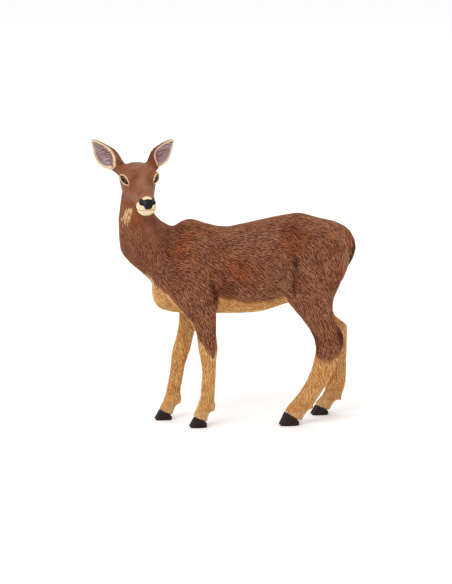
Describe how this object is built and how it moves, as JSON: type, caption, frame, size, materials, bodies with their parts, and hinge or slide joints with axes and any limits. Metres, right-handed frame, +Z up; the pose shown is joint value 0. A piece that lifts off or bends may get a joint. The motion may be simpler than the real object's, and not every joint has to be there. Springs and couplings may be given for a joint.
{
  "type": "toy doe figurine",
  "caption": "Hand-painted moulded plastic toy figurine of a standing doe, its head turned to its left, with sculpted coat strokes; it stands on flat hoof soles.",
  "frame": {"origin": "floor level, under the centre of the figurine's bounding box", "axes": "+Z up; -X the way the body faces; -Y the doe's left side, the way its turned head faces"},
  "size_m": [0.0918, 0.0344, 0.0997],
  "materials": {
    "coat_brown": "matte red-brown paint with a dark wash in the sculpted strokes; tan belly and cream markings are painted over it",
    "coat_tan": "matte tan paint with pale dry-brushed strokes",
    "hoof_black": "satin near-black paint",
    "nose_black": "glossy black paint",
    "eye_dark": "glossy dark brown paint with a black pupil"
  },
  "bodies": {
    "root": {"claw_foreleg_left_inner": "hoof_black", "claw_foreleg_left_outer": "hoof_black", "claw_foreleg_right_inner": "hoof_black", "claw_foreleg_right_outer": "hoof_black", "claw_hindleg_left_inner": "hoof_black", "claw_hindleg_left_outer": "hoof_black", "claw_hindleg_right_inner": "hoof_black", "claw_hindleg_right_outer": "hoof_black", "ear_left": "coat_brown", "ear_right": "coat_brown", "eye_left": "eye_dark", "eye_right": "eye_dark", "foreleg_left_lower": "coat_tan", "foreleg_left_upper": "coat_brown", "foreleg_right_lower": "coat_tan", "foreleg_right_upper": "coat_brown", "head": "coat_brown", "hindleg_left_lower": "coat_tan", "hindleg_left_upper": "coat_brown", "hindleg_right_lower": "coat_tan", "hindleg_right_upper": "coat_brown", "neck": "coat_brown", "nose": "nose_black", "tail": "coat_brown", "trunk": "coat_brown"}
  },
  "joints": []
}
